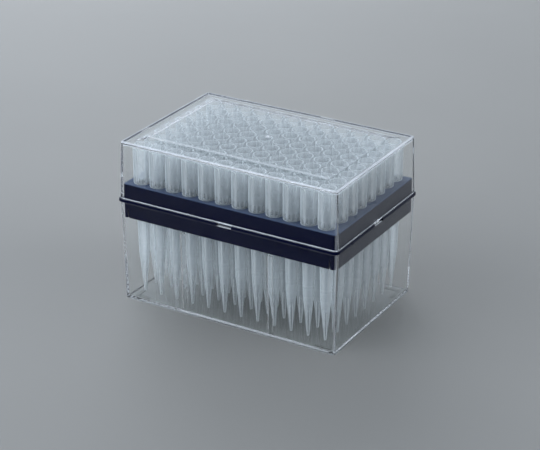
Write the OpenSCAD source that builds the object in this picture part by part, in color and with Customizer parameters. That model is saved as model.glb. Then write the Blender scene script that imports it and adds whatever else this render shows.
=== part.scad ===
// A rack of pipette tips in its clear two-part box: a base, a lid that lifts off, and between them
// a dark rack whose flange is held in the seam. Every tip hangs by its shoulder from the rack's deck.
// Millimetres. The origin is the middle of the foot, +X runs along the longer side and +Z is up.

/* [Tip array] */
// Distance between neighbouring tips, along both sides
pitch = 9; // [8.8:0.1:11]
// Axis of the outermost tips to the outside of the box, at each short end
end_margin = 9; // [8:0.1:14]
// Axis of the outermost tips to the outside of the box, at each long side
side_margin = 7.6; // [7.4:0.1:14]

/* [Tips] */
// Length of a tip from its shoulder down to its point
tip_below = 56.7; // [45:0.1:75]
// Length of a tip's head, from the shoulder up to the rim
head_len = 18; // [12:0.1:24]
// Outer radius of the tip's body just below the shoulder
neck_r = 3.4; // [2.8:0.05:3.5]
// Width of the shoulder that rests on the deck
shoulder = 0.45; // [0.3:0.05:0.6]
// Outer radius where the body's slope changes
waist_r = 2.55; // [2.2:0.05:2.8]
// Share of the length below the shoulder that lies above that change of slope
waist_share = 0.63; // [0.4:0.01:0.75]
// Outer radius at the point
point_r = 0.6; // [0.5:0.05:0.9]
// Radius of the hole at the point
outlet_r = 0.3; // [0.2:0.05:0.4]
// Wall of the tip's body
tip_wall = 0.65; // [0.5:0.05:0.8]
// Wall of the head at the rim, round the socket where a nozzle enters
head_wall = 0.4; // [0.3:0.05:0.6]
// How much narrower the socket is at its bottom than at the rim
socket_taper = 0.35; // [0.1:0.05:0.5]
// Height of the rim band and of the shoulder band that close the ribs
band_h = 1.2; // [0.8:0.1:2]
// Ribs around each head
head_ribs = 12; // [6:1:16]
// Width of a rib
rib_w = 0.55; // [0.4:0.05:0.8]
// How far a rib stands out of the head
rib_out = 0.3; // [0.1:0.05:0.35]

/* [Rack] */
// Height of the deck above the flange
deck_rise = 7.5; // [4:0.1:12]
// Thickness of the deck
deck_t = 1.6; // [1.2:0.1:3]
// Thickness of the rack's walls
rack_wall = 1.4; // [1:0.1:2]
// Thickness of the flange held between base and lid
flange_t = 1.4; // [1:0.1:2.5]
// How far the flange stands out past the box
flange_out = 0.7; // [0.2:0.1:1.5]
// Depth of the skirt below the flange
skirt_h = 8.4; // [4:0.1:14]
// Length of the gap in the flange at the middle of each side
notch_len = 8; // [4:0.5:20]
// Width of the slits near the skirt's corners, at their open end
slit_w = 1.0; // [0.6:0.1:2]
// Height of those slits
slit_h = 4.6; // [2:0.1:7]
// Play between a tip's body and its hole in the deck
hole_gap = 0.15; // [0.1:0.05:0.3]
// Play between the rack and the walls of base and lid
rack_gap = 0.3; // [0.2:0.05:0.6]

/* [Base] */
// Wall of the base
base_wall = 1.5; // [1:0.1:2.5]
// Thickness of the floor
floor_t = 1.4; // [1:0.1:3]
// Height of the foot that runs round under the floor
foot_h = 1.3; // [0.8:0.1:3]
// Lean of the base's walls, in degrees
base_draft = 1.2; // [0.5:0.1:2]
// Play between the tips' points and the floor
point_gap = 0.7; // [0.5:0.1:3]
// Place of the wall ribs, from the middle of each long side
wall_rib_x = 23.4; // [10:0.1:40]
// Width of the wall ribs
wall_rib_w = 3.0; // [1.5:0.1:5]
// How far the wall ribs stand out of the wall
wall_rib_out = 0.8; // [0.5:0.1:1.5]
// Play between the wall ribs and the skirt above them
wall_rib_gap = 0.8; // [0.5:0.1:2]
// Length of each arm of the corner lugs under the floor
lug_len = 8; // [4:0.5:20]
// Thickness of the corner lugs
lug_t = 1.2; // [0.8:0.1:2]
// Play between the lugs and the raised panel of a box below
lug_gap = 0.4; // [0.2:0.1:1]

/* [Lid] */
// Wall of the lid
lid_wall = 1.3; // [1:0.1:2.5]
// Thickness of the lid's top
lid_top_t = 1.4; // [1:0.1:3]
// Lean of the lid's walls, in degrees
lid_draft = 2.0; // [0.5:0.1:3]
// Play between the tips' rims and the lid
rim_gap = 1.7; // [0.5:0.1:6]
// Height of the bead round the lid's lower edge
bead_h = 0.8; // [0.5:0.1:2]
// How far the bead stands out
bead_out = 0.25; // [0.1:0.05:0.6]
// Height of the raised panel on the lid
panel_rise = 1.0; // [0.5:0.1:1.2]
// Distance from the lid's upper edge in to the raised panel
panel_inset = 5.6; // [4:0.1:12]
// Radius of the gate dimple in the middle of the panel
gate_r = 2.2; // [1.5:0.1:4]
// Depth of the gate dimple
gate_depth = 0.4; // [0.2:0.1:0.6]

/* [Shape] */
// Corner radius of the box at the seam
corner_r = 2.2; // [2:0.1:6]

/* [Hidden] */
columns = 12; // each column of tips is a node of its own, named in NODES
rows = 8;
skin = 0.01; // thickness of the slices that the leaning walls span
cut = 1; // how far a cutter runs past what it cuts
round_fn = 48;
hull_fn = 32;
floor_z = foot_h + floor_t;
point_z = floor_z + point_gap;
deck_z = point_z + tip_below;
rim_z = deck_z + head_len;
seam_z = deck_z - deck_rise; // top of the flange, where the lid stands
base_h = seam_z - flange_t; // underside of the flange, where the base ends
skirt_z = base_h - skirt_h;
lid_in_z = rim_z + rim_gap;
lid_z = lid_in_z + lid_top_t;
lid_h = lid_z - seam_z;
box = [(columns - 1) * pitch + 2 * end_margin, (rows - 1) * pitch + 2 * side_margin];
head_r = neck_r + shoulder;
socket_r = head_r - head_wall;
socket_bottom_r = socket_r - socket_taper;
hole_r = neck_r + hole_gap;
bore_r = neck_r - tip_wall; // inside of the tip just below its socket
panel = plan_at_lid(lid_z) - 2 * panel_inset * [1, 1];
plateau = plan_at_lid(deck_z) - 2 * (lid_wall + rack_gap) * [1, 1];
skirt = plan_at_base(skirt_z) - 2 * (base_wall + rack_gap) * [1, 1];
waist_z = deck_z - waist_share * tip_below;

// Outer plan of the base's leaning walls at height z
function plan_at_base(z) = box - 2 * (base_h - z) * tan(base_draft) * [1, 1];

// Outer plan of the lid's leaning walls at height z
function plan_at_lid(z) = box - 2 * (z - seam_z) * tan(lid_draft) * [1, 1];

// A rectangle with round corners
module outline(size, r, fn = round_fn) {
    square([size[0] - 2 * r, size[1]], center = true);
    square([size[0], size[1] - 2 * r], center = true);
    for (sx = [-1, 1], sy = [-1, 1])
        translate([sx * (size[0] / 2 - r), sy * (size[1] / 2 - r)])
            circle(r, $fn = fn);
}

// A plate with round corners, from height z up
module plate(size, r, z, h) {
    translate([0, 0, z])
        linear_extrude(h)
            outline(size, r);
}

// A block with leaning sides, from one plan at z0 to another at z1
module leaning_block(size0, size1, r, z0, z1) {
    hull() {
        translate([0, 0, z0])
            linear_extrude(skin)
                outline(size0, r, hull_fn);
        translate([0, 0, z1 - skin])
            linear_extrude(skin)
                outline(size1, r, hull_fn);
    }
}

// Flat rib standing up the inside of a long wall, leaning with it. Its root lies in the wall
module wall_rib(side) {
    half_w = plan_at_base(floor_z)[1] / 2 - base_wall;
    foot = wall_rib_w / 2;
    face = foot - wall_rib_out / 2;
    root = side * base_wall / 2;
    out = -side * wall_rib_out;
    translate([0, side * half_w, floor_z])
        rotate([-side * base_draft, 0, 0])
            translate([0, 0, -floor_t / 2])
                linear_extrude(skirt_z - wall_rib_gap - floor_z + floor_t / 2)
                    polygon([
                        [-foot, root], [-foot, 0], [-face, out],
                        [face, out], [foot, 0], [foot, root]
                    ]);
}

// Corner lug under the floor, outside one corner of the panel of a box below
module lug(sx, sy) {
    x = panel[0] / 2 + lug_gap;
    y = panel[1] / 2 + lug_gap;
    mirror([sx < 0 ? 1 : 0, 0, 0])
        mirror([0, sy < 0 ? 1 : 0, 0]) {
            translate([x, y + lug_t - lug_len, 0])
                cube([lug_t, lug_len, foot_h + floor_t / 2]);
            translate([x + lug_t - lug_len, y, 0])
                cube([lug_len, lug_t, foot_h + floor_t / 2]);
        }
}

module base() {
    inside = 2 * base_wall * [1, 1];
    color([0.90, 0.94, 0.95, 0.35]) {
        difference() {
            leaning_block(plan_at_base(0), box, corner_r, 0, base_h);
            leaning_block(plan_at_base(floor_z) - inside, plan_at_base(base_h + cut) - inside,
                corner_r - base_wall / 2, floor_z, base_h + cut);
            plate(plan_at_base(0) - inside, corner_r - base_wall / 2, -cut, foot_h + cut);
        }
        for (sx = [-1, 1], sy = [-1, 1]) {
            translate([sx * wall_rib_x, 0, 0])
                wall_rib(sy);
            lug(sx, sy);
        }
    }
}

// Inverted V cut into the skirt beside a corner
module slit() {
    rotate([90, 0, 0])
        linear_extrude(2 * (rack_wall + cut), center = true)
            polygon([[-slit_w / 2, -cut], [slit_w / 2, -cut], [slit_w / 4, slit_h], [-slit_w / 4, slit_h]]);
}

// The flange, open at the middle of each side
module flange() {
    size = box + 2 * flange_out * [1, 1];
    difference() {
        plate(size, corner_r + flange_out, base_h, flange_t);
        for (sx = [-1, 1])
            translate([sx * (plateau[0] / 2 + size[0] / 4), 0, base_h])
                cube([size[0] / 2, notch_len, 4 * flange_t], center = true);
        for (sy = [-1, 1])
            translate([0, sy * (plateau[1] / 2 + size[1] / 4), base_h])
                cube([notch_len, size[1] / 2, 4 * flange_t], center = true);
    }
}

module rack() {
    slit_x = skirt[0] / 2 - rack_wall - slit_w;
    color([0.16, 0.19, 0.28])
        difference() {
            union() {
                plate(plateau, corner_r, base_h, deck_z - base_h);
                flange();
                plate(skirt, corner_r, skirt_z, skirt_h + flange_t);
            }
            plate(skirt - 2 * rack_wall * [1, 1], corner_r - rack_wall / 2, skirt_z - cut,
                deck_z - deck_t - skirt_z + cut);
            for (i = [0:columns - 1], j = [0:rows - 1])
                translate(concat(tip_place(i, j), deck_z - deck_t - cut))
                    cylinder(r = hole_r, h = deck_t + 2 * cut, $fn = round_fn);
            for (sx = [-1, 1], sy = [-1, 1])
                translate([sx * slit_x, sy * (skirt[1] - rack_wall) / 2, skirt_z])
                    slit();
        }
}

module lid() {
    inside = 2 * lid_wall * [1, 1];
    color([0.90, 0.94, 0.95, 0.35])
        difference() {
            union() {
                leaning_block(box, plan_at_lid(lid_z), corner_r, seam_z, lid_z);
                plate(box + 2 * bead_out * [1, 1], corner_r + bead_out, seam_z, bead_h);
                plate(panel, corner_r, lid_z - lid_top_t / 2, panel_rise + lid_top_t / 2);
            }
            leaning_block(plan_at_lid(seam_z - cut) - inside, plan_at_lid(lid_in_z) - inside,
                corner_r - lid_wall / 2, seam_z - cut, lid_in_z);
            plate(panel - 2 * lid_top_t * [1, 1], corner_r - lid_top_t / 2, lid_in_z - cut, panel_rise + cut);
            translate([0, 0, lid_z + panel_rise - gate_depth])
                difference() {
                    cylinder(r = gate_r, h = gate_depth + cut, $fn = round_fn);
                    cylinder(r = gate_r / 3, h = gate_depth * 0.75, $fn = round_fn);
                }
        }
}

// Place of the tip in column i and row j
function tip_place(i, j) = [(i - (columns - 1) / 2) * pitch, (j - (rows - 1) / 2) * pitch];

// One tip, standing at its height in the rack
module tip() {
    socket_len = head_len - band_h;
    rotate_extrude($fn = round_fn)
        polygon([
            [outlet_r, point_z], [point_r, point_z], [waist_r, waist_z], [neck_r, deck_z],
            [head_r, deck_z], [head_r, rim_z - band_h], [head_r + rib_out, rim_z - band_h],
            [head_r + rib_out, rim_z], [socket_r, rim_z], [socket_bottom_r, rim_z - socket_len],
            [bore_r, deck_z - band_h], [waist_r - tip_wall, waist_z]
        ]);
    for (k = [0:head_ribs - 1])
        rotate(k * 360 / head_ribs)
            translate([head_r - tip_wall / 3, -rib_w / 2, deck_z + band_h])
                cube([rib_out + tip_wall / 3, rib_w, head_len - 1.5 * band_h]);
}

// The tips of column i, counted from 0 at the -X end
module tips_column(i) {
    color([0.93, 0.96, 0.96, 0.8])
        for (j = [0:rows - 1])
            translate(concat(tip_place(i, j), 0))
                tip();
}

base();
rack();
lid();
for (i = [0:columns - 1])
    tips_column(i);
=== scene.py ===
# %% [markdown]
# # A box of pipette tips
#
# The real object is a consumable from a biology bench: a clear box in two mouldings, a dark rack
# whose flange lies in the seam between them, and 96 milky tips that hang in the rack. This file
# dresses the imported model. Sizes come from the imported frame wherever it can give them, and the
# few that it can't give, such as a wall's thickness, are named in millimetres.

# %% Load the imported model
from math import cos, pi, radians, sin, tan

import bmesh
import bpy
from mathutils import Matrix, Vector


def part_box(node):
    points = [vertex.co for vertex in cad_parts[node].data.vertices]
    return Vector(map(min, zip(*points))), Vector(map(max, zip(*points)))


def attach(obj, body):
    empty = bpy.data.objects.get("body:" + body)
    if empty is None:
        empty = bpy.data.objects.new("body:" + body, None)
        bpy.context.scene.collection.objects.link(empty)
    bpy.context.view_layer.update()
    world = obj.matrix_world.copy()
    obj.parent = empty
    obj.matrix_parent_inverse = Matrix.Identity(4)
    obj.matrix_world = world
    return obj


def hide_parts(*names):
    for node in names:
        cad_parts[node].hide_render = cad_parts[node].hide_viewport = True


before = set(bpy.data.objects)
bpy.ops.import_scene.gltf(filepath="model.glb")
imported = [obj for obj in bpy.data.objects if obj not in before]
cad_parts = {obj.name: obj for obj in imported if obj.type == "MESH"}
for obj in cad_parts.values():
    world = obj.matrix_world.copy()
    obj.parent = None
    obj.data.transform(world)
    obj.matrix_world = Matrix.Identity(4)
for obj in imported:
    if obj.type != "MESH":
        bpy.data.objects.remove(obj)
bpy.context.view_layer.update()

MM = 0.001

# %% [markdown]
# ## Measures taken from the frame
#
# The seam, the deck and the rims are read from those boxes, so this file never states an
# overall size of its own.

# %% Read the heights and the plan
BASE_LOW, BASE_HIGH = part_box("base")
RACK_LOW, RACK_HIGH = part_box("rack")
LID_LOW, LID_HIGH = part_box("lid")
COLUMNS = sorted(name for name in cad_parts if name.startswith("tips_column_"))
TIP_LOW, TIP_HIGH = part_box(COLUMNS[0])

PLAN = (BASE_HIGH.x - BASE_LOW.x, BASE_HIGH.y - BASE_LOW.y)
RIM_Z = BASE_HIGH.z
SEAM_Z = LID_LOW.z
DECK_Z = RACK_HIGH.z
SKIRT_Z = RACK_LOW.z
POINT_Z = TIP_LOW.z
TIP_RIM_Z = TIP_HIGH.z
ROWS = 8
TIP_R = (TIP_HIGH.x - TIP_LOW.x) / 2
PITCH = (TIP_HIGH.y - TIP_LOW.y - 2 * TIP_R) / (ROWS - 1)
print(f"plan {PLAN[0] / MM:.1f} x {PLAN[1] / MM:.1f} mm, deck at {DECK_Z / MM:.1f}, pitch {PITCH / MM:.2f}")

# %% Name what the frame can't give
WALL = 1.5 * MM                # of the base
LID_WALL = 1.3 * MM
BASE_LEAN = tan(radians(1.2))  # the walls lean so that the moulding leaves its mould
LID_LEAN = tan(radians(2.0))
PANEL_RISE = 1.0 * MM          # how far the panel on the lid stands up
PANEL_INSET = 5.6 * MM
LID_EDGE_Z = LID_HIGH.z - PANEL_RISE
MIDDLE = 20 * MM               # inset at which a section ends, inside every wall; flat faces fill the rest


def base_inset(z):
    """How far in the base's outer wall is at height z."""
    return (RIM_Z - z) * BASE_LEAN


def lid_inset(z):
    """How far in the lid's outer wall is at height z."""
    return (z - SEAM_Z) * LID_LEAN


print(f"the base leans {base_inset(0) / MM:.2f} mm in, the lid {lid_inset(LID_EDGE_Z) / MM:.2f} mm")

# %% [markdown]
# ## Moulded shells as swept sections
#
# Base, rack and lid are all thin walls that run round a rectangle with round corners. Instead of
# adding and cutting boxes, each is drawn once as a section, a short list of corners seen from the
# side, and that section is swept round the rectangle. Every corner of a section gets a small
# radius, because a moulding never has a knife edge, and in clear plastic it is these radii that
# catch the light as the bright lines that make the box readable. A Bevel modifier would also round
# the edges, but it would round them all alike and couldn't say where they are rubbed.
#
# The sweep notes at every point how much it is rubbed, in an attribute called wear. The clear
# plastic reads it and scatters light there, as fine scratches do.

# %% A ring of points round the box
CORNER_STEPS = 7           # points on each round corner
CORNER_R = 2.2 * MM        # at the seam's outline
CORNER_SHRINK = 0.7        # loss of radius for each unit of inset
SMALLEST_CORNER = 0.5 * MM
CORNER_SHARE = 0.86        # of a quarter turn, that a corner's points take on a circle


def ring(inset, z):
    """The rectangle with round corners, this far in from the seam's outline, at height z."""
    half_x, half_y = PLAN[0] / 2 - inset, PLAN[1] / 2 - inset
    r = max(CORNER_R - CORNER_SHRINK * inset, SMALLEST_CORNER)
    points = []
    for corner in range(4):
        sign_x, sign_y = ((1, 1), (-1, 1), (-1, -1), (1, -1))[corner]
        for step in range(CORNER_STEPS):
            turn = pi / 2 * (corner + step / (CORNER_STEPS - 1))
            points.append((
                sign_x * (half_x - r) + r * cos(turn),
                sign_y * (half_y - r) + r * sin(turn),
                z,
            ))
    return points


def circle(radius, z):
    """A circle in the middle, with one point for each point of a ring."""
    points = []
    for corner in range(4):
        for step in range(CORNER_STEPS):
            turn = pi / 2 * (corner + step / (CORNER_STEPS - 1) * CORNER_SHARE + (1 - CORNER_SHARE) / 2)
            points.append((radius * cos(turn), radius * sin(turn), z))
    return points


# %% Round the corners of a section
ROUND_STEPS = 6
RUBBED = 0.8 * MM          # how far the rubbing spreads over a broad flat top beside its edge
BROAD = 4 * MM             # a top and a wall longer than this make a broad top
RIGHT_ANGLED = 0.9         # sine of the angle above which an edge counts as square


def rounded(section):
    """Replaces each corner (inset, z, radius) of a section by a short curve of that radius.

    Returns points (inset, z, wear, upright). The wear is 1 in the middle of an outer corner, less
    on a blunt one, and 0 on flats and in inner corners, which nothing rubs. Where a wall meets a
    broad flat top, it stays at 1 over the rest of the corner and fades out on a strip of the top.
    upright is True where the point borders a wall and not a floor or a top.
    """
    points = []
    last = len(section) - 1
    way_round = 1 if section[last][1] > section[0][1] else -1
    for i, (inset, z, radius) in enumerate(section):
        here = Vector((inset, z))
        if radius == 0 or i in (0, last):
            points.append((inset, z, 0.0, False))
            continue
        before = Vector(section[i - 1][:2]) - here
        after = Vector(section[i + 1][:2]) - here
        outer = way_round * before.cross(after) > 0
        sharp = sin(before.angle(after)) if outer else 0.0
        reach = radius / tan(before.angle(after) / 2)
        start, end = here + before.normalized() * reach, here + after.normalized() * reach
        broad_top = sharp > RIGHT_ANGLED and after.x > BROAD and before.length > BROAD
        for step in range(ROUND_STEPS + 1):
            t = step / ROUND_STEPS
            inset_t, z_t = start * (1 - t) ** 2 + here * 2 * t * (1 - t) + end * t ** 2
            rubbed = 1.0 if broad_top and t > 0.5 else 4 * t * (1 - t)
            nearest = before if t <= 0.5 else after
            points.append((inset_t, z_t, sharp * rubbed, abs(nearest.y) > abs(nearest.x)))
        if broad_top:
            points.append((*(end + after.normalized() * RUBBED), 0.0, False))
    return points


# %% Turn rings into a mesh
def mesh_from_rings(name, rings, joined=False):
    """Bridges each ring to the next. joined closes the last on the first, else both ends get a lid."""
    shape = bmesh.new()
    rows = [[shape.verts.new(point) for point in points] for points in rings]
    pairs = list(zip(rows, rows[1:] + rows[:1])) if joined else list(zip(rows, rows[1:]))
    for low, high in pairs:
        for k in range(len(low)):
            after = (k + 1) % len(low)
            shape.faces.new((low[k], low[after], high[after], high[k]))
    if not joined:
        shape.faces.new(rows[0])
        shape.faces.new(rows[-1])
    bmesh.ops.recalc_face_normals(shape, faces=shape.faces)
    mesh = bpy.data.meshes.new(name)
    shape.to_mesh(mesh)
    shape.free()
    piece = bpy.data.objects.new(name, mesh)
    bpy.context.scene.collection.objects.link(piece)
    return piece


# %% Sweep a section, and make the shapes for booleans
UPRIGHT_WEAR = 0.35        # on the box's four upright edges, which are rounder and so rubbed less
POST_SIDES = 32


def sweep(name, section, extra=()):
    """Sweeps a section round the box. extra holds rings that go on from its end, with their wear."""
    rings, wear = [], []
    for inset, z, worn, upright in rounded(section):
        points = ring(inset, z)
        rings.append(points)
        for k in range(len(points)):
            on_edge = upright and k % CORNER_STEPS == CORNER_STEPS // 2
            wear.append(max(worn, UPRIGHT_WEAR if on_edge else 0.0))
    for points, worn in extra:
        rings.append(points)
        wear += [worn] * len(points)
    piece = mesh_from_rings(name, rings)
    piece.data.attributes.new("wear", "FLOAT", "POINT").data.foreach_set("value", wear)
    return piece


def block(name, low, high):
    """A closed box between two corners, for cutting and for the sheet under the object."""
    (x0, y0, z0), (x1, y1, z1) = low, high
    return mesh_from_rings(name, [
        [(x0, y0, z), (x1, y0, z), (x1, y1, z), (x0, y1, z)] for z in (z0, z1)
    ])


def post(name, x, y, z0, z1, radius):
    """A round cutter between two heights."""
    turns = [2 * pi * k / POST_SIDES for k in range(POST_SIDES)]
    return mesh_from_rings(name, [
        [(x + radius * cos(turn), y + radius * sin(turn), z) for turn in turns] for z in (z0, z1)
    ])


# %% Join and cut shapes, and keep only the result
WELD = 0.001 * MM          # where edges of two shapes meet, a boolean can leave two points in one place


def combine(piece, operation, tools):
    """Unites a piece with other shapes, or cuts them out of it, and removes the shapes."""
    group = bpy.data.collections.new(piece.name + "_tools")
    for tool in tools:
        group.objects.link(tool)
    change = piece.modifiers.new(operation.lower(), "BOOLEAN")
    change.operation = operation
    change.operand_type = "COLLECTION"
    change.collection = group
    change.solver = "EXACT"
    bpy.context.view_layer.update()
    seen = piece.evaluated_get(bpy.context.evaluated_depsgraph_get())
    result = bpy.data.meshes.new_from_object(seen)
    shape = bmesh.new()
    shape.from_mesh(result)
    bmesh.ops.remove_doubles(shape, verts=shape.verts, dist=WELD)
    shape.to_mesh(result)
    shape.free()
    piece.modifiers.clear()
    piece.data = result
    for tool in tools:
        bpy.data.objects.remove(tool)
    bpy.data.collections.remove(group)
    return piece


# %% Smooth a piece and hand it to the frame
SMOOTH_BELOW = radians(32)
FLATS_FIRST = 100          # weight of large faces when normals are averaged


def finish_mesh(piece, material, body, *nodes):
    """Smooths the rounded edges, keeps flat faces flat, and puts the piece in place of its CAD node."""
    piece.data.polygons.foreach_set("use_smooth", [True] * len(piece.data.polygons))
    piece.data.set_sharp_from_angle(angle=SMOOTH_BELOW)
    weigh = piece.modifiers.new("flat faces stay flat", "WEIGHTED_NORMAL")
    weigh.keep_sharp = True
    weigh.weight = FLATS_FIRST
    piece.data.materials.clear()
    piece.data.materials.append(material)
    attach(piece, body)
    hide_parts(*nodes)
    print(piece.name, len(piece.data.polygons), "faces")
    return piece


# %% [markdown]
# ## Materials
#
# The object has three plastics. Each is built from nodes by one small function, which adds a
# shader node with its settings and its links. Every pattern's scale is the size of one of its
# blotches in millimetres.

# %% Colour and node helpers
def linear(hex_colour, alpha=1.0):
    """An sRGB hex colour as the linear values that shaders work in."""
    parts = [int(hex_colour[i:i + 2], 16) / 255 for i in (1, 3, 5)]
    return [p / 12.92 if p <= 0.04045 else ((p + 0.055) / 1.055) ** 2.4 for p in parts] + [alpha]


def add(tree, kind, inputs=None, **settings):
    """Adds a node, sets its own settings, and sets or links its inputs."""
    made = tree.nodes.new(kind)
    for name, value in settings.items():
        setattr(made, name, value)
    for name, value in (inputs or {}).items():
        if isinstance(value, bpy.types.NodeSocket):
            tree.links.new(value, made.inputs[name])
        else:
            made.inputs[name].default_value = value
    return made


def new_material(name):
    """A material with an empty node tree."""
    material = bpy.data.materials.new(name)
    material.use_nodes = True
    material.node_tree.nodes.clear()
    return material, material.node_tree


def lighting_ray(tree):
    """1 for a ray that goes to a lamp or comes from a matt surface, and 0 for what the eye sees."""
    path = add(tree, "ShaderNodeLightPath").outputs
    return add(tree, "ShaderNodeMath", {
        0: path["Is Shadow Ray"], 1: path["Is Diffuse Ray"],
    }, operation="MAXIMUM").outputs[0]


# %% [markdown]
# ### Clear polystyrene
#
# Base and lid are crystal polystyrene, injected into a polished mould. The eye gets glass-clear
# faces, bright edges, a slow waviness from the flow of the melt and a faint haze from handling.
#
# Polystyrene has an index of 1.59. On the object the dark rack stays nearly black behind two walls,
# so the index is matched down to 1.48 and a grey specular tint weakens what a face mirrors head-on.
# The bright edges, where light is mirrored at a grazing angle, aren't touched by that tint.
#
# A plain glass shader would shut the lamps out of the box, because a ray towards a lamp can't bend.
# Such rays, and those of the light that the tips and the floor scatter, go straight through here.

# %% Clear polystyrene
FLOW_SIZE = 22 * MM
HANDLED_SIZE = 9 * MM


def clear_polystyrene():
    material, tree = new_material("polystyrene_clear_moulded")
    place = add(tree, "ShaderNodeTexCoord").outputs["Object"]
    flow = add(tree, "ShaderNodeTexNoise", {"Vector": place, "Scale": 1 / FLOW_SIZE, "Detail": 1.0})
    wave = add(tree, "ShaderNodeBump", {
        "Height": flow.outputs["Fac"], "Strength": 0.06, "Distance": 0.05 * MM,
    })
    handling = add(tree, "ShaderNodeTexNoise", {"Vector": place, "Scale": 1 / HANDLED_SIZE, "Detail": 4.0})
    haze = add(tree, "ShaderNodeMapRange", {
        "Value": handling.outputs["Fac"], "From Min": 0.35, "From Max": 0.75,
        "To Min": 0.01, "To Max": 0.06,
    })
    plastic = add(tree, "ShaderNodeBsdfPrincipled", {
        "Base Color": linear("#FDFEFE"), "Roughness": haze.outputs["Result"], "IOR": 1.48,
        "Transmission Weight": 1.0, "Specular Tint": linear("#606060"), "Normal": wave.outputs["Normal"],
    })
    # Edges rub on benches and on other boxes, and their fine scratches scatter light.
    worn = add(tree, "ShaderNodeAttribute", attribute_name="wear")
    patches = add(tree, "ShaderNodeMapRange", {
        "Value": handling.outputs["Fac"], "From Min": 0.3, "From Max": 0.7,
        "To Min": 0.34, "To Max": 0.52,
    })
    scratched = add(tree, "ShaderNodeMath", {
        0: worn.outputs["Fac"], 1: patches.outputs["Result"],
    }, operation="MULTIPLY")
    scratches = add(tree, "ShaderNodeBsdfDiffuse", {"Color": linear("#F2F5FA")})
    seen = add(tree, "ShaderNodeMixShader", {
        0: scratched.outputs[0], 1: plastic.outputs[0], 2: scratches.outputs[0],
    })
    # Light on its way to a lamp or between matt surfaces goes straight through.
    straight = add(tree, "ShaderNodeBsdfTransparent", {"Color": linear("#F9FAFA")})
    mixed = add(tree, "ShaderNodeMixShader", {
        0: lighting_ray(tree), 1: seen.outputs[0], 2: straight.outputs[0],
    })
    add(tree, "ShaderNodeOutputMaterial", {"Surface": mixed.outputs[0]})
    return material


# %% [markdown]
# ### Natural polypropylene
#
# Tips are injected in undyed polypropylene. It is partly crystalline, so it scatters light inside
# its thin wall: the eye gets a milky, slightly bluish white that darker things show through, and
# that is denser where the wall is thick or is seen aslant.
#
# A volume shader would give that, but it is slow and noisy in 96 thin tips. Here each face of the
# wall lets through a share of what is behind it, worked out from the wall's thickness. Every tip
# carries that thickness at its points, in an attribute called wall.

# %% Natural polypropylene
HALF_DEPTH = 1.25 * MM     # path through the plastic in which half the light is scattered
FORWARD = 0.12             # share of the scattered light that is really lost to what lies behind
CLOUD_SIZE = 3 * MM        # across a tip; the blotches are five times as long as they are wide
GRAZING = 0.08             # least cosine, which stops a wall seen edge-on from growing endlessly thick


def natural_polypropylene():
    material, tree = new_material("polypropylene_natural_moulded")
    place = add(tree, "ShaderNodeTexCoord").outputs["Object"]
    along = add(tree, "ShaderNodeMapping", {"Vector": place, "Scale": (1.0, 1.0, 0.2)}).outputs[0]
    cloud = add(tree, "ShaderNodeTexNoise", {"Vector": along, "Scale": 1 / CLOUD_SIZE, "Detail": 2.0})
    tone = add(tree, "ShaderNodeValToRGB", {"Fac": cloud.outputs["Fac"]})
    tone.color_ramp.elements[0].color = linear("#EEF7FB")
    tone.color_ramp.elements[1].color = linear("#F5FAFD")
    lit = add(tree, "ShaderNodeBsdfDiffuse", {"Color": tone.outputs["Color"]})
    through = add(tree, "ShaderNodeBsdfTranslucent", {"Color": tone.outputs["Color"]})
    milk = add(tree, "ShaderNodeMixShader", {0: 0.5, 1: lit.outputs[0], 2: through.outputs[0]})
    # The wall is crossed in two halves, one at each of its faces, and aslant the way is longer.
    wall = add(tree, "ShaderNodeAttribute", attribute_name="wall")
    slant = add(tree, "ShaderNodeLayerWeight", {"Blend": 0.5})
    head_on = add(tree, "ShaderNodeMath", {0: 1.0, 1: slant.outputs["Facing"]}, operation="SUBTRACT")
    cosine = add(tree, "ShaderNodeMath", {0: head_on.outputs[0], 1: GRAZING}, operation="MAXIMUM")
    way = add(tree, "ShaderNodeMath", {0: wall.outputs["Fac"], 1: cosine.outputs[0]}, operation="DIVIDE")
    # Polypropylene scatters mainly forwards, so light on its way to what lies behind loses less.
    depth = add(tree, "ShaderNodeMapRange", {
        "Value": lighting_ray(tree), "To Min": 0.5 / HALF_DEPTH, "To Max": 0.5 / HALF_DEPTH * FORWARD,
    })
    halvings = add(tree, "ShaderNodeMath", {
        0: way.outputs[0], 1: depth.outputs["Result"],
    }, operation="MULTIPLY")
    let_through = add(tree, "ShaderNodeMath", {0: 0.5, 1: halvings.outputs[0]}, operation="POWER")
    clear = add(tree, "ShaderNodeBsdfTransparent", {"Color": linear("#FFFFFF")})
    body = add(tree, "ShaderNodeMixShader", {
        0: let_through.outputs[0], 1: milk.outputs[0], 2: clear.outputs[0],
    })
    shine = add(tree, "ShaderNodeBsdfGlossy", {"Color": linear("#FFFFFF"), "Roughness": 0.3})
    mirror = add(tree, "ShaderNodeFresnel", {"IOR": 1.49})
    plastic = add(tree, "ShaderNodeMixShader", {
        0: mirror.outputs[0], 1: body.outputs[0], 2: shine.outputs[0],
    })
    add(tree, "ShaderNodeOutputMaterial", {"Surface": plastic.outputs[0]})
    return material


# %% [markdown]
# ### Dark rack plastic
#
# The rack is injected in polypropylene dyed a blue so deep that its sides read as black. They are
# a fine satin. The top of the deck is painted a lighter slate blue, and that is painted light: it
# stands for the light from above that falls on the deck and not on the sides. So the colour changes
# with height just under the top. Two materials would need a hard border there; a colour that follows
# the height keeps the deck's rounded edge soft.

# %% Dark rack plastic
GRAIN_SIZE = 0.6 * MM      # coarser than the real grain, which would be too fine to show
STREAK_SIZE = 14 * MM


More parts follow.
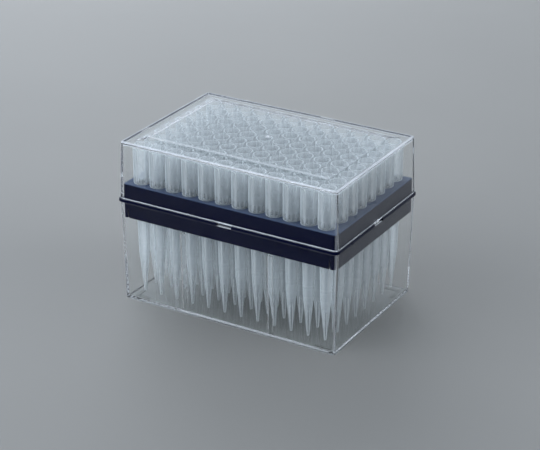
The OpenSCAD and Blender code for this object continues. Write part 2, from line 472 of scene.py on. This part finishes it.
def dyed_polypropylene():
    material, tree = new_material("polypropylene_dyed_satin")
    place = add(tree, "ShaderNodeTexCoord").outputs["Object"]
    grain = add(tree, "ShaderNodeTexNoise", {"Vector": place, "Scale": 1 / GRAIN_SIZE, "Detail": 2.0})
    fine = add(tree, "ShaderNodeBump", {
        "Height": grain.outputs["Fac"], "Strength": 0.05, "Distance": 0.02 * MM,
    })
    streak = add(tree, "ShaderNodeTexNoise", {"Vector": place, "Scale": 1 / STREAK_SIZE, "Detail": 3.0})
    gloss = add(tree, "ShaderNodeMapRange", {
        "Value": streak.outputs["Fac"], "From Min": 0.3, "From Max": 0.7,
        "To Min": 0.27, "To Max": 0.31,
    })
    # Painted light: at the top of the deck the dye's #020520 turns to a lighter slate blue, #424F68, for
    # the light from above.
    height = add(tree, "ShaderNodeSeparateXYZ", {0: place})
    painted_deck_light = add(tree, "ShaderNodeMapRange", {
        "Value": height.outputs["Z"], "From Min": DECK_Z - 0.4 * MM, "From Max": DECK_Z - 0.1 * MM,
    })
    colour = add(tree, "ShaderNodeMix", {0: painted_deck_light.outputs["Result"]}, data_type="RGBA")
    colour.inputs[6].default_value = linear("#020520")
    colour.inputs[7].default_value = linear("#424F68")
    plastic = add(tree, "ShaderNodeBsdfPrincipled", {
        "Base Color": colour.outputs[2], "Roughness": gloss.outputs["Result"], "IOR": 1.49,
        "Specular Tint": linear("#383838"), "Normal": fine.outputs["Normal"],
    })
    add(tree, "ShaderNodeOutputMaterial", {"Surface": plastic.outputs[0]})
    return material


# %% Make the three materials
POLYSTYRENE = clear_polystyrene()
TIP_PLASTIC = natural_polypropylene()
RACK_PLASTIC = dyed_polypropylene()
for plastic in (POLYSTYRENE, TIP_PLASTIC, RACK_PLASTIC):
    print(plastic.name, len(plastic.node_tree.nodes), "nodes")

# %% [markdown]
# ## The base
#
# The base is a deep tray whose walls lean outward towards the rim, so that it leaves its mould.
# It stands on a low foot, two flat ribs run up the inside of each long wall, and four L-shaped
# lugs under its floor stand round the panel of a box below. Floor, foot and walls are one section,
# swept round. Ribs and lugs are joined to it by a boolean, so that no plastic wall is left inside
# them to show as a seam, which pieces that only overlap would have.

# %% Sweep the base
FLOOR = 0.9 * MM
FOOT = 0.3 * MM            # height
FOOT_W = 1.5 * MM
FLOOR_FILLET = 0.8 * MM
RIM_ROUND = 0.4 * MM       # outer edge, also of the foot
RIM_ROUND_IN = 0.3 * MM
FOOT_ROUND = 0.1 * MM


def make_base():
    floor_z = FOOT + FLOOR
    foot_inset = base_inset(0) + FOOT_W
    section = [
        (MIDDLE, floor_z, 0),
        (base_inset(floor_z) + WALL, floor_z, FLOOR_FILLET),
        (WALL, RIM_Z, RIM_ROUND_IN),
        (0, RIM_Z, RIM_ROUND),
        (base_inset(0), 0, RIM_ROUND),
        (foot_inset, 0, FOOT_ROUND),
        (foot_inset + FOOT, FOOT, FOOT_ROUND),
        (MIDDLE, FOOT, 0),
    ]
    return sweep("base_moulding", section)


# %% Ribs inside the long walls
RIB_X = 23.4 * MM          # from the middle of the wall
RIB_W = 3.0 * MM
RIB_OUT_OF_WALL = 0.8 * MM
RIB_PLAY = 0.8 * MM        # between a rib's top and the rack's skirt
RIB_FOOT_ROUND = 0.1 * MM
RIB_EDGE_ROUND = 0.15 * MM


def wall_rib(sign_x, sign_y):
    """A flat rib that follows the lean of a long wall. Its root is inside the wall."""
    foot, face = RIB_W / 2, RIB_W / 2 - RIB_OUT_OF_WALL / 2
    root, out = WALL / 2, -RIB_OUT_OF_WALL
    section = [
        (-foot, root),
        (-foot, RIB_FOOT_ROUND),
        (-foot + 0.8 * RIB_FOOT_ROUND, -RIB_FOOT_ROUND),
        (-face - RIB_FOOT_ROUND, out + RIB_EDGE_ROUND),
        (-face + RIB_EDGE_ROUND, out),
    ]
    section += [(-x, y) for x, y in reversed(section)]
    rings = []
    for z in (FOOT + FLOOR / 2, SKIRT_Z - RIB_PLAY):
        y = PLAN[1] / 2 - base_inset(z) - WALL
        rings.append([(sign_x * RIB_X + a, sign_y * (y + b), z) for a, b in section])
    return mesh_from_rings("rib", rings)


# %% Lugs under the floor
LUG = 8 * MM
LUG_T = 1.2 * MM
LUG_PLAY = 0.4 * MM        # between a lug and the panel of a box below


def lug(sign_x, sign_y):
    """An L under the floor, outside one corner of the raised panel of a box below."""
    edge = (LID_EDGE_Z - SEAM_Z) * LID_LEAN + PANEL_INSET - LUG_PLAY
    x, y = PLAN[0] / 2 - edge, PLAN[1] / 2 - edge
    plan = [
        (x + LUG_T - LUG, y), (x, y), (x, y + LUG_T - LUG),
        (x + LUG_T, y + LUG_T - LUG), (x + LUG_T, y + LUG_T), (x + LUG_T - LUG, y + LUG_T),
    ]
    return mesh_from_rings("lug", [
        [(sign_x * a, sign_y * b, z) for a, b in plan] for z in (0, FOOT + FLOOR / 2)
    ])


# %% Join the base
base = make_base()
corners = [(sx, sy) for sx in (-1, 1) for sy in (-1, 1)]
combine(base, "UNION", [wall_rib(*c) for c in corners] + [lug(*c) for c in corners])
finish_mesh(base, POLYSTYRENE, "base", "base")

# %% [markdown]
# ## The lid
#
# The lid is a shallower shell. A bead stiffens its lower edge, and a panel stands up from its top
# so that the next box can't slide off. Its edge is a soft slope: with small radii there it would
# draw hard dark lines, so they are large. The mark of the moulding gate is in the middle, a small
# dished ring with a pip, and its rings simply go on from the end of the section.

# %% Sweep the lid
LID_TOP = 1.4 * MM
PANEL_SLOPE = 4.2 * MM     # width of the slope round the panel
SLOPE_FOOT = 14 * MM       # radii at the foot and at the head of that slope
SLOPE_HEAD = 7 * MM
BEAD = 0.25 * MM
BEAD_H = 0.8 * MM
LID_EDGE_ROUND = 0.7 * MM
LID_EDGE_ROUND_IN = 1.0 * MM
BEAD_ROUND = 0.25 * MM
BEAD_ROUND_HIGH = 0.2 * MM
BEAD_ROOT = 0.05 * MM
GATE_R = 1.3 * MM
GATE_DEPTH = 0.4 * MM


def gate_mark(top):
    """Rings and their wear, from the gate's rim down to its bottom and up its pip."""
    return [
        (circle(GATE_R + 0.3 * MM, top), 0.0),
        (circle(GATE_R, top - 0.15 * GATE_DEPTH), 0.4),
        (circle(GATE_R * 0.85, top - GATE_DEPTH), 0.2),
        (circle(GATE_R * 0.5, top - GATE_DEPTH), 0.6),
        (circle(GATE_R * 0.42, top - GATE_DEPTH * 0.2), 1.0),
        (circle(GATE_R * 0.15, top - GATE_DEPTH * 0.1), 1.0),
    ]


def make_lid():
    panel = lid_inset(LID_EDGE_Z) + PANEL_INSET
    inside_z = LID_EDGE_Z - LID_TOP
    low, high = panel, panel + PANEL_SLOPE
    shift = LID_TOP * PANEL_RISE / PANEL_SLOPE / 2       # keeps the slope as thick as the top
    section = [
        (MIDDLE, inside_z + PANEL_RISE, 0),
        (high + shift, inside_z + PANEL_RISE, SLOPE_HEAD),
        (low + shift, inside_z, SLOPE_FOOT),
        (lid_inset(inside_z) + LID_WALL, inside_z, LID_EDGE_ROUND_IN),
        (LID_WALL, SEAM_Z, RIM_ROUND_IN),
        (-BEAD, SEAM_Z, BEAD_ROUND),
        (-BEAD, SEAM_Z + BEAD_H, BEAD_ROUND_HIGH),
        (lid_inset(SEAM_Z + BEAD_H), SEAM_Z + BEAD_H, BEAD_ROOT),
        (lid_inset(LID_EDGE_Z), LID_EDGE_Z, LID_EDGE_ROUND),
        (low, LID_EDGE_Z, SLOPE_FOOT),
        (high, LID_HIGH.z, SLOPE_HEAD),
        (MIDDLE, LID_HIGH.z, 0),
    ]
    return sweep("lid_moulding", section, gate_mark(LID_HIGH.z))


lid = make_lid()
finish_mesh(lid, POLYSTYRENE, "lid", "lid")

# %% [markdown]
# ## The rack
#
# The rack is the only opaque piece. Its section runs under the deck, down the skirt, round the
# flange that lies in the seam, and up to the deck again. The holes, the slits beside the corners
# and the gaps in the flange are then cut out of it. A boolean does that in one go, and it is the
# plain choice for 96 round holes in a flat deck.

# %% Sweep the rack
RACK_WALL = 1.4 * MM
RACK_PLAY = 0.3 * MM       # between the rack and the walls of base and lid
DECK = 1.6 * MM
FLANGE = 0.7 * MM
DECK_ROUND = 0.5 * MM      # along the deck's edge, and under it along the skirt
SKIRT_ROUND = 0.3 * MM
FLANGE_ROUND = 0.35 * MM   # half the flange's thickness or nearly so
FLANGE_ROOT_LOW = 0.1 * MM
FLANGE_ROOT_HIGH = 0.2 * MM


def make_rack():
    plateau = lid_inset(DECK_Z) + LID_WALL + RACK_PLAY
    skirt = base_inset(SKIRT_Z) + WALL + RACK_PLAY
    section = [
        (MIDDLE, DECK_Z - DECK, 0),
        (skirt + RACK_WALL, DECK_Z - DECK, DECK_ROUND),
        (skirt + RACK_WALL, SKIRT_Z, SKIRT_ROUND),
        (skirt, SKIRT_Z, SKIRT_ROUND),
        (skirt, RIM_Z, FLANGE_ROOT_LOW),
        (-FLANGE, RIM_Z, FLANGE_ROUND),
        (-FLANGE, SEAM_Z, FLANGE_ROUND),
        (plateau, SEAM_Z, FLANGE_ROOT_HIGH),
        (plateau, DECK_Z, DECK_ROUND),
        (MIDDLE, DECK_Z, 0),
    ]
    return sweep("rack_moulding", section)


# %% Cutters for the slits and the gaps
SLIT = 1.0 * MM            # width at the skirt's lower edge
SLIT_H = 4.6 * MM
NOTCH = 8.0 * MM
NOTCH_REACH = 3 * MM


def slit(sign_x, sign_y):
    """An inverted V through the long side of the skirt, beside a corner."""
    skirt = base_inset(SKIRT_Z) + WALL + RACK_PLAY
    x = PLAN[0] / 2 - skirt - RACK_WALL - SLIT
    y = PLAN[1] / 2 - skirt - RACK_WALL / 2
    reach = RACK_WALL / 2 + MM / 2
    around = ((-1, -1), (1, -1), (1, 1), (-1, 1))
    rings = []
    for z, half in ((SKIRT_Z - MM, SLIT / 2), (SKIRT_Z + SLIT_H, SLIT / 4)):
        rings.append([(sign_x * x + a * half, sign_y * y + b * reach, z) for a, b in around])
    return mesh_from_rings("slit", rings)


def notch(direction_x, direction_y):
    """The gap in the flange at the middle of one side."""
    plateau = lid_inset(DECK_Z) + LID_WALL + RACK_PLAY
    half = NOTCH / 2
    z0, z1 = RIM_Z - MM, SEAM_Z + MM / 2
    if direction_x:
        near = PLAN[0] / 2 - plateau
        low, high = sorted((direction_x * near, direction_x * (near + NOTCH_REACH)))
        return block("notch", (low, -half, z0), (high, half, z1))
    near = PLAN[1] / 2 - plateau
    low, high = sorted((direction_y * near, direction_y * (near + NOTCH_REACH)))
    return block("notch", (-half, low, z0), (half, high, z1))


# %% Cut the rack
HOLE_R = 3.55 * MM


def tip_axes():
    """The place of every tip, column by column."""
    for name in COLUMNS:
        low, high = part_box(name)
        x = (low.x + high.x) / 2
        yield name, [(x, low.y + TIP_R + row * PITCH) for row in range(ROWS)]


rack = make_rack()
cutters = [slit(*c) for c in corners] + [notch(1, 0), notch(-1, 0), notch(0, 1), notch(0, -1)]
for name, places in tip_axes():
    cutters += [post("hole", x, y, DECK_Z - DECK - MM, DECK_Z + MM, HOLE_R) for x, y in places]
combine(rack, "DIFFERENCE", cutters)
finish_mesh(rack, RACK_PLASTIC, "rack", "rack")

# %% [markdown]
# ## The tips
#
# A tip is a lathe shape: a long hollow cone with a wider head, whose shoulder rests on the deck.
# The ribs round the head are part of the same skin. Separate ribs joined by a boolean would be
# many times heavier in 96 tips, so the radius just swells at even angles, which keeps the tip one
# closed mesh. One tip is turned, and each column is made of eight copies of it.

# %% Measures of one tip
AROUND = 72                # points round a tip
RIBS = 12
RIB_OUT = 0.08 * MM
BAND = 1.2 * MM            # the plain band under the rim
SHOULDER = 0.7 * MM
THINNED = 0.4 * MM         # the skin between the ribs is thinner above the shoulder
THIN_TOP = 4.2 * MM
NECK_R = 3.4 * MM
WAIST_R = 2.55 * MM
WAIST_SHARE = 0.63         # of the way from the deck down to the point
END_R = 0.6 * MM
OUTLET_R = 0.3 * MM
BODY_WALL = 0.95 * MM
SOCKET_R = 3.45 * MM
SOCKET_END_R = 3.1 * MM
SOCKET_DEPTH = 16.8 * MM
EDGE = 0.1 * MM            # chamfers of the rim, the shoulder and the point
ROUND = 0.3 * MM           # how far the longer chamfers reach
GRADUATIONS = (30.0 * MM, 28.2 * MM, 24.2 * MM, 21.4 * MM)   # heights of the fine volume rings
GRADUATION_OUT = 0.1 * MM
GRADUATION_HALF = 0.3 * MM
LEAST_WALL = 0.2 * MM
RIM_PATH = 2.5 * MM        # a look down on the rim runs along the wall, so more plastic counts there


def between(z, z0, r0, z1, r1):
    """Radius at height z on a straight line between two points of an outline."""
    return r0 + (r1 - r0) * (z - z0) / (z1 - z0)


WAIST_Z = DECK_Z - WAIST_SHARE * (DECK_Z - POINT_Z)
print(f"a tip is {(TIP_RIM_Z - POINT_Z) / MM:.1f} mm long, its waist lies at {WAIST_Z / MM:.1f} mm")


# %% Outline of one tip
def body_outline():
    """The outside from the point up to the neck, with the rings that mark volumes."""
    marks = []
    for z in sorted(GRADUATIONS):
        for rise, out in ((-GRADUATION_HALF, 0), (0, GRADUATION_OUT), (GRADUATION_HALF, 0)):
            if z < WAIST_Z:
                r = between(z + rise, POINT_Z, END_R, WAIST_Z, WAIST_R)
            else:
                r = between(z + rise, WAIST_Z, WAIST_R, DECK_Z, NECK_R)
            marks.append((r + out, z + rise, 0))
    # A mark may lie across the waist, so its points are parted by their own heights.
    low = [mark for mark in marks if mark[1] < WAIST_Z]
    high = [mark for mark in marks if mark[1] > WAIST_Z]
    point = [(OUTLET_R, POINT_Z, 0), (END_R - EDGE / 2, POINT_Z, 0), (END_R, POINT_Z + EDGE, 0)]
    return point + low + [(WAIST_R, WAIST_Z, 0)] + high + [(NECK_R, DECK_Z, 0)]


def head_outline():
    """The outside from the shoulder up to the rim. Over the thinned skin the ribs count for more."""
    r = TIP_R - RIB_OUT
    rim = TIP_RIM_Z
    band = rim - BAND
    raised = 1 + THINNED / RIB_OUT
    return [
        (r - 3.5 * EDGE, DECK_Z, 0),
        (r - EDGE, DECK_Z + EDGE, 0),
        (r, DECK_Z + 3.5 * EDGE, 0),
        (r, DECK_Z + SHOULDER, 0),
        (r - THINNED, DECK_Z + SHOULDER + ROUND, raised),
        (r - THINNED, DECK_Z + THIN_TOP - MM, raised),
        (r, DECK_Z + THIN_TOP, 1),
        (r, band - 0.5 * MM, 1),
        (r + 0.9 * RIB_OUT, band, 0),
        (TIP_R, band + 2 * EDGE, 0),
        (TIP_R, rim - ROUND, 0),
        (TIP_R - 0.9 * EDGE, rim - 0.9 * EDGE, 0),
        (TIP_R - ROUND, rim, 0),
    ]


def inside_outline():
    """From the mouth of the socket down to the outlet."""
    return [
        (SOCKET_R + EDGE, TIP_RIM_Z, 0),
        (SOCKET_R, TIP_RIM_Z - EDGE, 0),
        (SOCKET_END_R, TIP_RIM_Z - SOCKET_DEPTH, 0),
        (SOCKET_END_R - EDGE / 2, DECK_Z + SHOULDER, 0),
        (NECK_R - BODY_WALL, DECK_Z - BAND, 0),
        (WAIST_R - BODY_WALL, WAIST_Z, 0),
        (OUTLET_R, POINT_Z + ROUND, 0),
    ]


def tip_outline():
    """Radius, height and how much the ribs count, up the outside and back down the inside."""
    return body_outline() + head_outline(), inside_outline()


def radius_at(z, outline):
    """Radius of an outline at height z, for the thickness of the wall there."""
    points = sorted((p[1], p[0]) for p in outline)
    for (z0, r0), (z1, r1) in zip(points, points[1:]):
        if z0 <= z <= z1 and z1 > z0:
            return between(z, z0, r0, z1, r1)
    return points[-1][1]


# %% Turn one tip
def turn_tip():
    """Rings of points, and the thickness of the wall at every point."""
    outside, inside = tip_outline()
    rings, thickness = [], []
    for r, z, ribbed in outside + inside:
        wall = max(radius_at(z, outside) - radius_at(z, inside), LEAST_WALL)
        if z == TIP_RIM_Z:
            wall = RIM_PATH
        points = []
        for k in range(AROUND):
            turn = 2 * pi * k / AROUND
            swell = (0.5 + 0.5 * cos(RIBS * turn)) * RIB_OUT * ribbed
            points.append(((r + swell) * cos(turn), (r + swell) * sin(turn), z))
            thickness.append(wall + swell)
        rings.append(points)
    return rings, thickness


# %% Make the columns
def make_column(name, places):
    """Eight copies of one tip in one object, as eight closed shells."""
    rings, thickness = turn_tip()
    piece = mesh_from_rings(name.replace("tips_column", "tips"), rings, joined=True)
    piece.data.attributes.new("wall", "FLOAT", "POINT").data.foreach_set("value", thickness)
    shape = bmesh.new()
    shape.from_mesh(piece.data)
    pattern = shape.verts[:] + shape.edges[:] + shape.faces[:]
    bmesh.ops.translate(shape, verts=shape.verts[:], vec=(*places[0], 0))
    for x, y in places[1:]:
        copy = bmesh.ops.duplicate(shape, geom=pattern)["geom"]
        moved = [part for part in copy if isinstance(part, bmesh.types.BMVert)]
        bmesh.ops.translate(shape, verts=moved, vec=(x - places[0][0], y - places[0][1], 0))
    shape.to_mesh(piece.data)
    shape.free()
    return piece


for name, places in tip_axes():
    column = make_column(name, places)
    finish_mesh(column, TIP_PLASTIC, "rack", name)

# %% [markdown]
# ## Stage
#
# A plain grey paper sheet runs past every edge of the view. Four wide soft panels light it: the key
# low at the front left, which reaches the heads through the lid and the tips through the base, a
# weaker one at the right, one low behind at the left, whose light comes forward through the milky
# tips, and one for the sheet behind. Clear plastic shows mainly what it mirrors, and a lamp's hard
# outline in a lid looks like a stain, so the panels aren't seen in mirrors or through the plastic.
# What the plastic mirrors is the world, a soft sky with a glow towards the back left.

# %% Floor
CLOUDING_SIZE = 120 * MM   # of the sheet's faint clouding
REACH = 3.0                # half the sheet's side, in metres
SHEET_T = 0.02


def make_floor():
    material, tree = new_material("paper_sheet")
    place = add(tree, "ShaderNodeTexCoord").outputs["Object"]
    fibre = add(tree, "ShaderNodeTexNoise", {"Vector": place, "Scale": 1 / CLOUDING_SIZE, "Detail": 2.0})
    tone = add(tree, "ShaderNodeValToRGB", {"Fac": fibre.outputs["Fac"]})
    tone.color_ramp.elements[0].color = linear("#82817E")
    tone.color_ramp.elements[1].color = linear("#878683")
    paper = add(tree, "ShaderNodeBsdfPrincipled", {
        "Base Color": tone.outputs["Color"], "Roughness": 0.6,
    })
    add(tree, "ShaderNodeOutputMaterial", {"Surface": paper.outputs[0]})
    floor = block("floor", (-REACH, -REACH, -SHEET_T), (REACH, REACH, 0))
    floor.data.materials.append(material)
    print(floor.name, 2 * REACH, "m wide")


make_floor()


# %% Lamps
LAMP_COLOUR = "#F0F6FF"


def softbox(name, place, size, watts, aim=(0, 0, 0)):
    """A rectangular lamp of this size, in metres, turned towards the point aim."""
    lamp = bpy.data.lights.new(name, "AREA")
    lamp.shape = "RECTANGLE"
    lamp.size, lamp.size_y = size
    lamp.energy = watts
    lamp.color = linear(LAMP_COLOUR)[:3]
    holder = bpy.data.objects.new(name, lamp)
    holder.location = place
    holder.rotation_euler = (Vector(aim) - Vector(place)).to_track_quat("-Z", "Y").to_euler()
    holder.visible_glossy = False
    holder.visible_transmission = False
    bpy.context.scene.collection.objects.link(holder)
    print(name, watts, "W")


softbox("key_panel", (-0.95, -0.95, 0.55), (1.6, 1.2), 20)
softbox("right_panel", (1.10, 0.35, 0.50), (1.0, 0.8), 8)
softbox("back_panel", (-0.75, 0.70, 0.42), (1.0, 0.8), 10)
softbox("backdrop_panel", (-1.10, 1.20, 0.60), (0.8, 0.5), 9, aim=(-0.75, 0.85, 0.0))


# %% Surroundings
GLOW_TOWARDS = (-0.80, -0.52, 0.30)
GLOW = 0.8


def studio_world():
    """A wide soft glow low at the back left, over an even light that weakens towards the zenith."""
    world = bpy.data.worlds.new("studio")
    world.use_nodes = True
    tree = world.node_tree
    direction = add(tree, "ShaderNodeTexCoord").outputs["Generated"]
    towards = add(tree, "ShaderNodeVectorMath", {0: direction, 1: GLOW_TOWARDS}, operation="DOT_PRODUCT")
    glow = add(tree, "ShaderNodeMapRange", {
        "Value": towards.outputs["Value"], "From Min": 0.2, "From Max": 1.0,
        "To Min": 0.0, "To Max": GLOW,
    }, interpolation_type="SMOOTHSTEP")
    height = add(tree, "ShaderNodeSeparateXYZ", {0: direction})
    even = add(tree, "ShaderNodeMapRange", {
        "Value": height.outputs["Z"], "From Min": 0.1, "From Max": 0.8,
        "To Min": 1.0, "To Max": 0.35,
    })
    total = add(tree, "ShaderNodeMath", {
        0: glow.outputs["Result"], 1: even.outputs["Result"],
    }, operation="ADD")
    shown = tree.nodes["Background"]
    shown.inputs["Color"].default_value = linear("#E0ECFA")
    tree.links.new(total.outputs[0], shown.inputs["Strength"])
    bpy.context.scene.world = world
    print(world.name, "world, glow", GLOW)


studio_world()

# %% [markdown]
# ## Camera
#
# The camera stands in front, a little to the right and well above, 84 cm away with a long lens, as
# for a catalogue picture. The view transform is Standard, so that a colour is shown as it is lit.

# %% Camera
CAMERA_AT = Vector((388.8, -654.8, 390.0)) * MM
LOOK_AT = Vector((1.5, -0.6, 37.4)) * MM
FOCAL_LENGTH = 117.4       # in mm, as the sensor's width
SENSOR_WIDTH = 36

lens = bpy.data.cameras.new("camera")
lens.lens = FOCAL_LENGTH
lens.sensor_width = SENSOR_WIDTH
camera = bpy.data.objects.new("camera", lens)
camera.location = CAMERA_AT
camera.rotation_euler = (LOOK_AT - CAMERA_AT).to_track_quat("-Z", "Y").to_euler()
bpy.context.scene.collection.objects.link(camera)
bpy.context.scene.camera = camera
bpy.context.scene.view_settings.view_transform = "Standard"
print(f"the camera is {(CAMERA_AT - LOOK_AT).length / MM:.0f} mm away")

# %% Bounces
# Light crosses many thin walls here, and is mirrored to and fro inside them.
MIRRORED = 64
SCATTERED = 16
CROSSED = 96               # milky walls, of which a view across the box meets dozens

cycles = bpy.context.scene.cycles
cycles.max_bounces = MIRRORED
cycles.transmission_bounces = MIRRORED
cycles.glossy_bounces = MIRRORED
cycles.diffuse_bounces = SCATTERED
cycles.transparent_max_bounces = CROSSED
